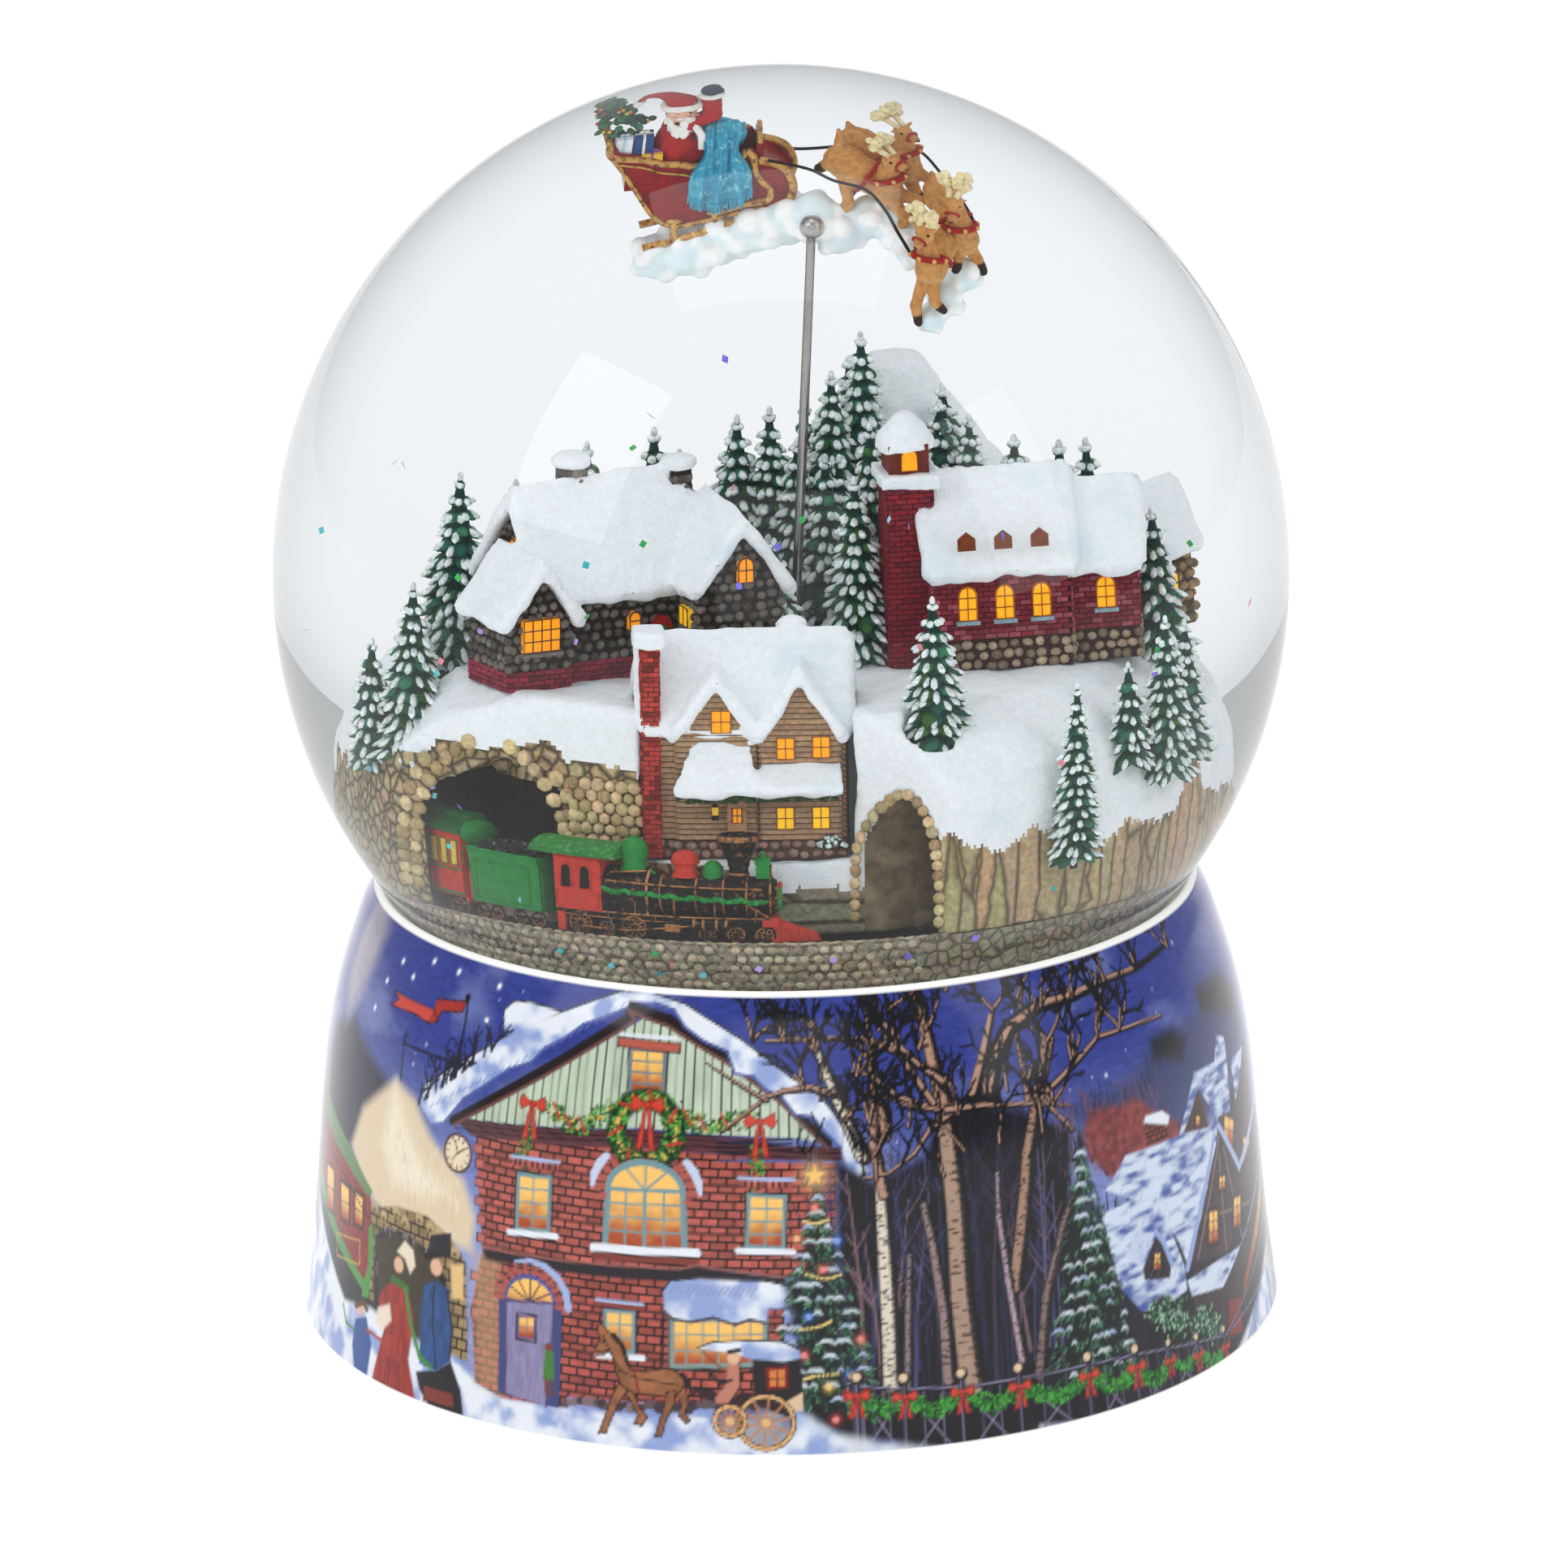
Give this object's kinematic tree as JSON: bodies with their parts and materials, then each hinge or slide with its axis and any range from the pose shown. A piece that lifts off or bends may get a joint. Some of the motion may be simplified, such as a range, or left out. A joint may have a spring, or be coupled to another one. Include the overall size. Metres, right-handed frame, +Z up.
{
  "type": "snow globe",
  "caption": "Musical water globe on a waisted ceramic base, with a snowy village, a train circling through a tunnel and a sleigh flying overhead.",
  "frame": {"origin": "centre of the plane the rubber feet stand on, on the globe's axis", "axes": "+Z up along the globe's axis, -Y the front where the locomotive stands at rest, +X to the right seen from the front"},
  "size_m": [0.12, 0.12, 0.1515],
  "materials": {
    "ceramic": "glossy, printed under the glaze",
    "cover": "matte",
    "rubber": "matte",
    "glass": "clear polished",
    "stopper": "matte",
    "steel": "satin",
    "chrome": "polished",
    "brass": "satin",
    "zinc": "as cast",
    "white_plastic": "matte",
    "magnet": "plated",
    "snow_resin": "painted resin, satin",
    "kerb_resin": "painted resin, satin",
    "stone_resin": "painted resin, satin",
    "siding_resin": "painted resin, satin",
    "brick_resin": "painted resin, satin",
    "pine_resin": "painted resin, satin",
    "track_resin": "painted resin, satin",
    "loco_resin": "painted resin, gold dry-brush",
    "green_resin": "painted resin, satin",
    "red_resin": "painted resin, glossy",
    "deer_resin": "painted resin, satin",
    "gift_resin": "painted resin, satin",
    "cord": "satin"
  },
  "bodies": {
    "base": {"ceramic_base": "ceramic", "bottom_cover": "cover", "rubber_feet": "rubber", "glass_globe": "glass", "seat_gasket": "rubber", "rubber_stopper": "stopper", "fill_plug": "rubber", "pivot_pin": "steel", "kerb_ring": "kerb_resin", "bedplate": "zinc", "movement_screws": "steel", "ratchet_click": "steel", "click_screw": "steel", "inner_bearing_bracket": "steel", "outer_bearing_bracket": "steel", "governor_bracket": "steel", "steel_comb": "steel", "comb_screws": "steel", "stone_house": "stone_resin", "clapboard_house": "siding_resin", "brick_church": "brick_resin", "cottage": "siding_resin", "pine_trees": "pine_resin", "village_casting": "snow_resin"},
    "key": {"winding_arbor": "steel", "winding_key": "brass"},
    "barrel": {"spring_barrel": "brass", "barrel_cover_spindle": "brass", "mainspring": "steel", "drive_disc": "white_plastic", "drive_magnets": "magnet"},
    "music_cylinder": {"crown_wheel": "white_plastic", "pin_cylinder": "brass", "cylinder_end_gear": "brass", "cylinder_arbor": "steel"},
    "governor": {"governor_arbor": "steel", "worm_wheel": "brass"},
    "fly": {"endless_screw": "steel", "air_brake_fly": "steel"},
    "rotor": {"rotor_hub": "white_plastic", "follower_magnets": "magnet", "turntable": "track_resin", "rails": "steel", "sleigh_rod": "chrome", "locomotive": "loco_resin", "tender": "green_resin", "coach_front": "red_resin", "coach_rear": "red_resin", "cloud": "snow_resin", "sleigh": "red_resin", "driver_figure": "red_resin", "gift_load": "gift_resin", "reindeer_rear_near": "deer_resin", "reindeer_rear_far": "deer_resin", "reindeer_front_near": "deer_resin", "reindeer_front_far": "deer_resin", "reins": "cord"}
  },
  "joints": [
    {"name": "key_turn", "type": "hinge", "parent": "base", "child": "key", "pos_m": [0, 0, 0.012], "axis": [0, 0, 1], "range_deg": [0, 2340]},
    {"name": "barrel_spin", "type": "hinge", "parent": "base", "child": "barrel", "pos_m": [0, 0, 0.03], "axis": [0, 0, 1], "continuous": true},
    {"name": "cylinder_spin", "type": "hinge", "parent": "base", "child": "music_cylinder", "pos_m": [0.025, 0, 0.028], "axis": [1, 0, 0], "continuous": true},
    {"name": "governor_spin", "type": "hinge", "parent": "base", "child": "governor", "pos_m": [0.028, 0.0088, 0.028], "axis": [1, 0, 0], "continuous": true},
    {"name": "fly_spin", "type": "hinge", "parent": "base", "child": "fly", "pos_m": [0.0376, 0.01485, 0.028], "axis": [0, 0, 1], "continuous": true},
    {"name": "rotor_spin", "type": "hinge", "parent": "base", "child": "rotor", "pos_m": [0, 0, 0.052], "axis": [0, 0, 1], "continuous": true}
  ],
  "couplings": [
    {"joint": "cylinder_spin", "follows": "barrel_spin", "ratio": 2},
    {"joint": "governor_spin", "follows": "barrel_spin", "ratio": -6},
    {"joint": "fly_spin", "follows": "barrel_spin", "ratio": 48},
    {"joint": "rotor_spin", "follows": "barrel_spin", "ratio": 1}
  ]
}
